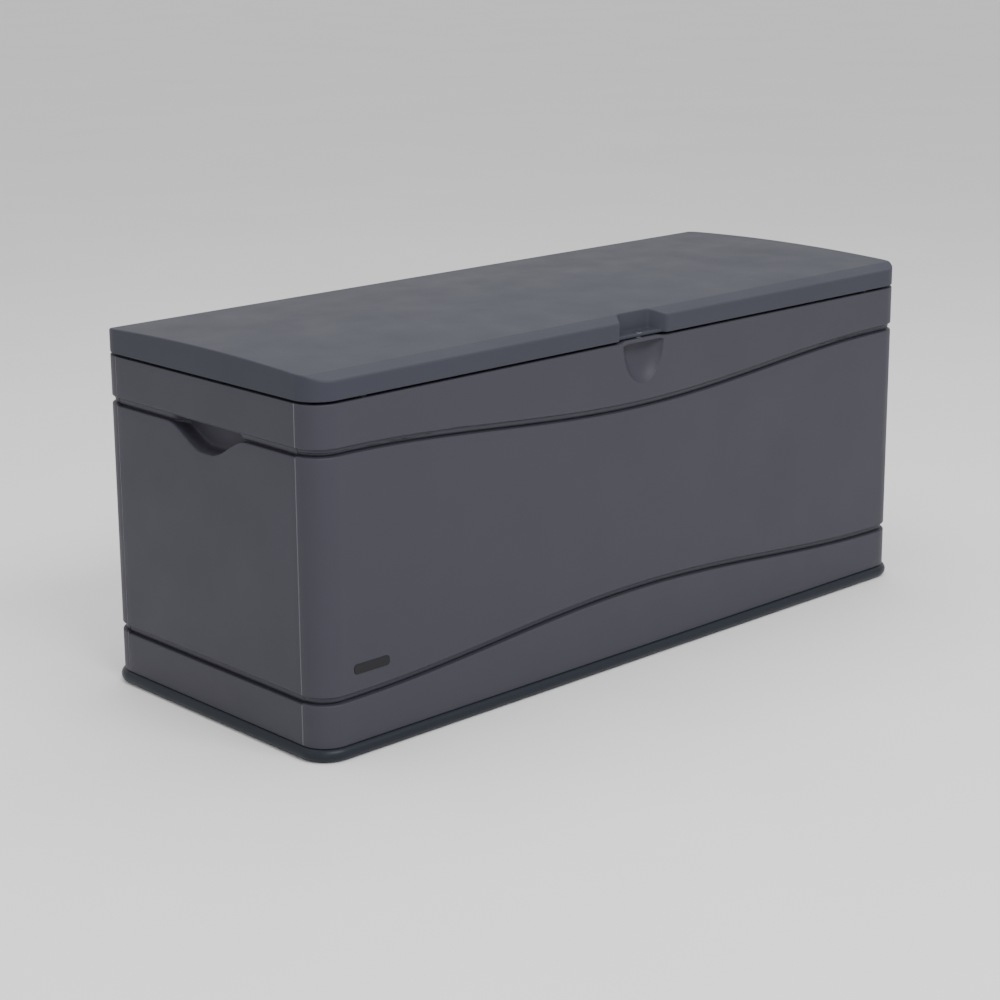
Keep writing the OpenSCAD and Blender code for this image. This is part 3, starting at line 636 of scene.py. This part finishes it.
def tube(name, points, r, sides):
    """A round bar along points, with closed ends."""
    sections = []
    side = Vector((0.31, 0.87, 0.39))
    for i, p in enumerate(points):
        along = (points[min(i + 1, len(points) - 1)] - points[max(i - 1, 0)]).normalized()
        u = along.cross(side).normalized()
        v = along.cross(u)
        sections.append([p + r * (math.cos(t) * u + math.sin(t) * v)
                         for t in np.linspace(0, 2 * math.pi, sides + 1)[:-1]])
    return sweep(name, sections, smooth_angle=60)


# ---- materials ----

class Nodes:
    """Short calls for wiring a material's nodes."""

    def __init__(self, name):
        self.mat = bpy.data.materials.new(name)
        self.mat.use_nodes = True
        self.tree = self.mat.node_tree
        self.shader = self.tree.nodes["Principled BSDF"]
        self.coords = self.add("ShaderNodeTexCoord").outputs["Object"]

    def add(self, kind, **settings):
        node = self.tree.nodes.new(kind)
        for key, value in settings.items():
            setattr(node, key, value)
        return node

    def link(self, source, target):
        self.tree.links.new(source, target)

    def noise(self, scale, detail=3.0, roughness=0.55, stretch=(1, 1, 1)):
        mapping = self.add("ShaderNodeMapping")
        mapping.inputs["Scale"].default_value = stretch
        self.link(self.coords, mapping.inputs["Vector"])
        node = self.add("ShaderNodeTexNoise")
        node.inputs["Scale"].default_value = scale
        node.inputs["Detail"].default_value = detail
        node.inputs["Roughness"].default_value = roughness
        self.link(mapping.outputs["Vector"], node.inputs["Vector"])
        return node.outputs["Fac"]

    def remap(self, value, low, high, start=0.3, end=0.7):
        node = self.add("ShaderNodeMapRange")
        node.inputs["From Min"].default_value = start
        node.inputs["From Max"].default_value = end
        node.inputs["To Min"].default_value = low
        node.inputs["To Max"].default_value = high
        self.link(value, node.inputs["Value"])
        return node.outputs["Result"]

    def mix(self, factor, a, b):
        """Colour a where factor is 0 and b where it is 1; each is a socket or a colour."""
        node = self.add("ShaderNodeMix", data_type="RGBA")
        self.link(factor, node.inputs["Factor"])
        for socket, value in ((node.inputs["A"], a), (node.inputs["B"], b)):
            if isinstance(value, tuple):
                socket.default_value = (*value, 1)
            else:
                self.link(value, socket)
        return node.outputs["Result"]

    def bump(self, height, distance, strength=1.0, under=None):
        node = self.add("ShaderNodeBump")
        node.inputs["Distance"].default_value = distance
        node.inputs["Strength"].default_value = strength
        self.link(height, node.inputs["Height"])
        if under is not None:
            self.link(under, node.inputs["Normal"])
        return node.outputs["Normal"]

    def edges(self, start, end):
        """1 on convex edges, 0 on flats, from the mesh's own curvature."""
        point = self.add("ShaderNodeNewGeometry").outputs["Pointiness"]
        return self.remap(point, 0.0, 1.0, start, end)


def moulded(name, colour, rough=0.5, grain=1.0, wear_and_highlight_share=0.12, gloss=0.22):
    """Moulded resin: fine spark-eroded grain, faint flow marks, and convex edges lightened partly as rubbed
    wear, partly as a painted highlight.
    """
    n = Nodes(name)
    light = tuple(min(1.0, c * 1.05) for c in colour)
    dark = tuple(c * 0.955 for c in colour)
    # pale tone for the grain's specks and for the edges, where it is partly wear and partly a painted
    # highlight
    pale_wear_and_highlight = tuple(min(1.0, c * 1.35 + 0.01) for c in colour)
    flow = n.remap(n.noise(2.1, 4.0, 0.5, (1, 1, 0.45)), 0, 1, 0.25, 0.75)
    base = n.mix(flow, dark, light)
    speck = n.remap(n.noise(2600, 2.0, 0.7), 0, 0.16, 0.35, 0.75)
    base = n.mix(speck, base, pale_wear_and_highlight)
    # convex edges take the pale tone: partly rubbed wear, partly a painted highlight
    edge = n.edges(0.515, 0.60)
    worn_and_highlit_edge = n.add("ShaderNodeMath", operation="MULTIPLY")
    n.link(edge, worn_and_highlit_edge.inputs[0])
    worn_and_highlit_edge.inputs[1].default_value = wear_and_highlight_share
    base = n.mix(worn_and_highlit_edge.outputs[0], base, pale_wear_and_highlight)
    n.link(base, n.shader.inputs["Base Color"])
    patch = n.remap(n.noise(9.0, 3.0), rough - 0.035, rough + 0.045)
    n.link(patch, n.shader.inputs["Roughness"])
    n.shader.inputs["Specular IOR Level"].default_value = gloss
    waves = n.bump(n.noise(7.0, 2.0, 0.4), 0.0011, 0.25)
    n.link(n.bump(n.noise(1500, 3.0, 0.65), 0.00009 * grain, 0.9, waves), n.shader.inputs["Normal"])
    return n.mat


def plated(name, colour, rough, brushed=(1, 1, 1)):
    """Plated or galvanised steel: faint spangle, fine scratches, dulled patches."""
    n = Nodes(name)
    cell = n.add("ShaderNodeTexVoronoi", feature="F1")
    cell.inputs["Scale"].default_value = 160
    n.link(n.coords, cell.inputs["Vector"])
    grey = n.add("ShaderNodeRGBToBW")
    n.link(cell.outputs["Color"], grey.inputs["Color"])
    light = tuple(min(1.0, c * 1.15) for c in colour)
    dark = tuple(c * 0.82 for c in colour)
    base = n.mix(n.remap(grey.outputs["Val"], 0, 1, 0.2, 0.8), dark, light)
    dull = n.remap(n.noise(24, 4.0), 0, 0.35, 0.45, 0.75)
    base = n.mix(dull, base, tuple(c * 0.7 for c in colour))
    n.link(base, n.shader.inputs["Base Color"])
    n.shader.inputs["Metallic"].default_value = 1.0
    n.link(n.remap(n.noise(60, 3.0), rough - 0.06, rough + 0.1), n.shader.inputs["Roughness"])
    scratch = n.noise(380, 2.0, 0.6, brushed)
    n.link(n.bump(scratch, 0.00004, 0.6), n.shader.inputs["Normal"])
    return n.mat


def painted(name, colour, rough):
    """Powder-coated steel: orange-peel surface with chips of metal on its edges."""
    n = Nodes(name)
    light = tuple(min(1.0, c * 1.25 + 0.004) for c in colour)
    base = n.mix(n.remap(n.noise(40, 3.0), 0, 1), colour, light)
    chips = n.add("ShaderNodeMath", operation="MULTIPLY")
    n.link(n.edges(0.53, 0.62), chips.inputs[0])
    n.link(n.remap(n.noise(220, 4.0), 0, 1, 0.66, 0.74), chips.inputs[1])
    base = n.mix(chips.outputs[0], base, (0.42, 0.42, 0.43))
    n.link(base, n.shader.inputs["Base Color"])
    n.link(chips.outputs[0], n.shader.inputs["Metallic"])
    n.link(n.remap(n.noise(90, 2.0), rough - 0.05, rough + 0.07), n.shader.inputs["Roughness"])
    n.link(n.bump(n.noise(900, 2.0, 0.5), 0.00005, 0.8), n.shader.inputs["Normal"])
    return n.mat


def rubber(name, colour):
    """Soft black pad: dusty, with a coarse open surface."""
    n = Nodes(name)
    dust = n.remap(n.noise(120, 4.0), 0, 0.4, 0.45, 0.7)
    n.link(n.mix(dust, colour, (0.12, 0.12, 0.12)), n.shader.inputs["Base Color"])
    n.link(n.remap(n.noise(50, 2.0), 0.75, 0.92), n.shader.inputs["Roughness"])
    n.link(n.bump(n.noise(1100, 3.0, 0.7), 0.0001, 0.9), n.shader.inputs["Normal"])
    return n.mat


def floor_material():
    """Pale studio floor with a barely uneven tone."""
    n = Nodes("studio_floor")
    n.link(n.mix(n.remap(n.noise(1.2, 3.0), 0, 1), (0.80, 0.80, 0.80), (0.83, 0.83, 0.83)),
           n.shader.inputs["Base Color"])
    n.link(n.remap(n.noise(5.0, 2.0), 0.6, 0.7), n.shader.inputs["Roughness"])
    n.link(n.bump(n.noise(400, 2.0), 0.0002, 0.3), n.shader.inputs["Normal"])
    return n.mat


wall_plastic = moulded("wall_plastic", (0.036, 0.035, 0.047), rough=0.50)
lid_plastic = moulded("lid_plastic", (0.036, 0.038, 0.050), rough=0.50, gloss=0.13)
# pale resin painted on the seam edges as a highlight
seam_highlight_plastic = moulded("seam_highlight_plastic", (0.13, 0.13, 0.15), rough=0.5)
liner_plastic = moulded("liner_plastic", (0.034, 0.033, 0.041), rough=0.42, grain=0.5)
base_plastic = moulded("base_plastic", (0.009, 0.012, 0.018), rough=0.42, wear_and_highlight_share=0.2)
plate_plastic = moulded("plate_plastic", (0.006, 0.006, 0.008), rough=0.35, grain=0.3)
bush_nylon = moulded("bush_nylon", (0.72, 0.71, 0.67), rough=0.38, grain=0.4)
zinc = plated("zinc", (0.55, 0.56, 0.58), 0.34)
galvanised = plated("galvanised", (0.50, 0.52, 0.54), 0.42, (0.06, 1, 1))
spring_steel = plated("spring_steel", (0.28, 0.28, 0.29), 0.30)
eyelet_steel = plated("eyelet_steel", (0.40, 0.40, 0.41), 0.32)
coated_steel = painted("coated_steel", (0.030, 0.030, 0.033), 0.40)
pad_rubber = rubber("pad_rubber", (0.022, 0.022, 0.022))

SLOT_MATERIALS = {
    "wall_plastic": wall_plastic, "lid_plastic": lid_plastic, "liner_plastic": liner_plastic,
    "base_plastic": base_plastic, "plate_plastic": plate_plastic, "bush_nylon": bush_nylon,
    "strap_steel": zinc, "screw_steel": zinc, "pin_steel": zinc, "brace_steel": galvanised,
    "hinge_steel": coated_steel, "spring_steel": spring_steel, "eyelet_steel": eyelet_steel,
    "bumper_rubber": pad_rubber,
}


# ---- putting it together ----

def paint_seam_highlight(obj):
    """The rounded edges at a panel's seams get a pale resin colour: a painted highlight along each seam."""
    obj.data.materials.append(seam_highlight_plastic)
    seam_y = half_d - corner_r
    for face in obj.data.polygons:
        c = face.center
        near_seam = abs(abs(c.y) - seam_y) < edge_r * 0.8 and abs(c.x) > half_w - 1.2 * MM
        if near_seam and abs(face.normal.y) > 0.3:
            # the seam face is painted pale, a painted highlight
            face.material_index = 1


def place(obj, body, slot, *replaced):
    """The piece rides on a body, stands for CAD nodes and takes the finish of a slot."""
    obj.data.materials.clear()
    obj.data.materials.append(SLOT_MATERIALS[slot])
    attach(obj, body)
    if replaced:
        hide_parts(*replaced)


front_skin = wide_panel("front_panel_skin", True, False)
cut(front_skin, lock_hole(wall_top - 8 * MM, front_high.z + 2 * MM))
shade(front_skin)
place(front_skin, "box", "wall_plastic", "front_panel")
place(wide_panel("rear_panel_skin", False, True), "box", "wall_plastic", "rear_panel")
place(side_panel("left_panel_skin", False), "box", "wall_plastic", "left_panel")
place(side_panel("right_panel_skin", True), "box", "wall_plastic", "right_panel")
for obj in [o for o in bpy.context.scene.objects if o.name.endswith("_panel_skin")]:
    paint_seam_highlight(obj)
place(base_tray(), "box", "base_plastic", "base_tray")
place(lid_shell(), "lid", "lid_plastic", "lid_shell")
place(spring("spring_left_wire", "hinge_spring_left"), "box", "spring_steel", "hinge_spring_left")
place(spring("spring_right_wire", "hinge_spring_right"), "box", "spring_steel", "hinge_spring_right")

# the other CAD nodes keep their shape and get softened edges and real finishes
kept_slots = {s["node"]: s["material_slot"] for s in frame["record"]["subparts"]}
replaced_nodes = {"front_panel", "rear_panel", "left_panel", "right_panel", "base_tray", "lid_shell",
                  "hinge_spring_left", "hinge_spring_right"}
for name, obj in nodes.items():
    if name in replaced_nodes:
        continue
    obj.data.materials.clear()
    obj.data.materials.append(SLOT_MATERIALS[kept_slots[name]])
    bevel = obj.modifiers.new("soft_edges", "BEVEL")
    bevel.width = 0.35 * MM
    bevel.segments = 2
    bevel.limit_method = "ANGLE"
    bevel.angle_limit = math.radians(40)


# ---- studio ----

def studio_floor():
    """Wide pale floor, a hair under the object so that it doesn't touch the plinth."""
    mesh = bpy.data.meshes.new("floor")
    size = 30
    corners = [(-size, -size, 0), (size, -size, 0), (size, size, 0), (-size, size, 0)]
    mesh.from_pydata(corners, [], [(0, 1, 2, 3)])
    floor = bpy.data.objects.new("floor", mesh)
    bpy.context.scene.collection.objects.link(floor)
    floor.location.z = -0.2 * MM
    mesh.materials.append(floor_material())


def area_light(name, place_at, aim_at, size, power):
    light = bpy.data.lights.new(name, "AREA")
    light.shape = "RECTANGLE"
    light.size, light.size_y = size
    light.energy = power
    obj = bpy.data.objects.new(name, light)
    bpy.context.scene.collection.objects.link(obj)
    obj.location = place_at
    obj.rotation_euler = (Vector(aim_at) - Vector(place_at)).to_track_quat("-Z", "Y").to_euler()


def studio_light():
    """Large soft lights from the front, above and the left, and an even white surround."""
    area_light("key", (-0.6, -3.5, 4.1), (0, 0, 0.4), (3.2, 1.6), 205)
    area_light("overhead", (0.0, 0.6, 3.6), (0, 0, 0.4), (4.0, 2.5), 58)
    area_light("left_fill", (-4.4, 0.4, 2.2), (0, 0, 0.3), (2.5, 2.5), 14)
    area_light("corner_fill", (-3.4, -3.6, 1.6), (-0.6, -0.2, 0.3), (1.2, 1.6), 15)
    world = bpy.data.worlds.new("studio")
    world.use_nodes = True
    world.node_tree.nodes["Background"].inputs["Color"].default_value = (1, 1, 1, 1)
    world.node_tree.nodes["Background"].inputs["Strength"].default_value = 0.9
    bpy.context.scene.world = world


def camera():
    """Long lens at the front left corner, a little above the lid."""
    azimuth, elevation, roll = math.radians(-43.213), math.radians(14.020), math.radians(-0.339)
    target = Vector((-0.0281, 0.0478, 0.3772))
    distance = 4.3505
    back = Vector((math.sin(azimuth) * math.cos(elevation), -math.cos(azimuth) * math.cos(elevation),
                   math.sin(elevation)))
    right = Vector((math.cos(azimuth), math.sin(azimuth), 0))
    up = back.cross(right)
    rolled_right = right * math.cos(roll) + up * math.sin(roll)
    rolled_up = up * math.cos(roll) - right * math.sin(roll)
    data = bpy.data.cameras.new("camera")
    data.lens = 82.0
    data.sensor_width = 36.0
    data.shift_y = -0.0688
    cam = bpy.data.objects.new("camera", data)
    bpy.context.scene.collection.objects.link(cam)
    axes = Matrix((rolled_right, rolled_up, back)).transposed()
    cam.matrix_world = Matrix.Translation(target + back * distance) @ axes.to_4x4()
    bpy.context.scene.camera = cam


studio_floor()
studio_light()
camera()
